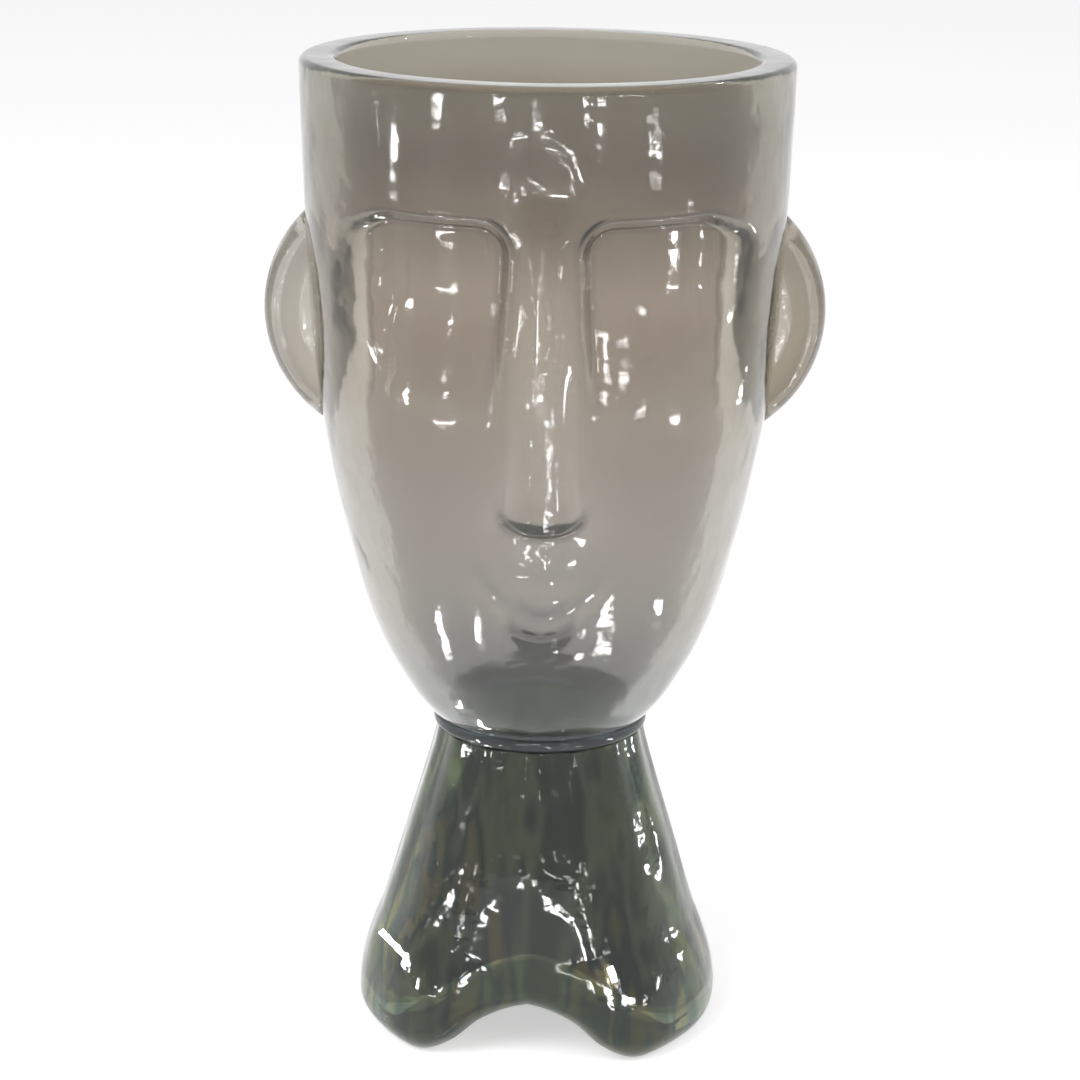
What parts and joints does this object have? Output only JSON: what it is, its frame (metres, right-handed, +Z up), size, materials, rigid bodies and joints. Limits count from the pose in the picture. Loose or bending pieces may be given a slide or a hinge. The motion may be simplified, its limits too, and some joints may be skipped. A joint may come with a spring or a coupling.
{
  "type": "face vase",
  "caption": "Free-standing thick smoky glass vase shaped as a head with a relief face and round ears, on a darker fluted foot with an arch below.",
  "frame": {"origin": "middle of the footprint, on the surface that the vase stands on, below the axis of the neck and the bowl", "axes": "+Z up through the neck and the rim, -Y the way the face looks, +X towards the face's own left ear"},
  "size_m": [0.1672, 0.1453, 0.3],
  "materials": {
    "bowl_glass": "polished",
    "ear_glass": "polished",
    "ring_glass": "polished",
    "foot_glass": "polished"
  },
  "bodies": {
    "root": {"head_bowl": "bowl_glass", "ear_left": "ear_glass", "ear_right": "ear_glass", "neck_ring": "ring_glass", "pedestal": "foot_glass"}
  },
  "joints": []
}
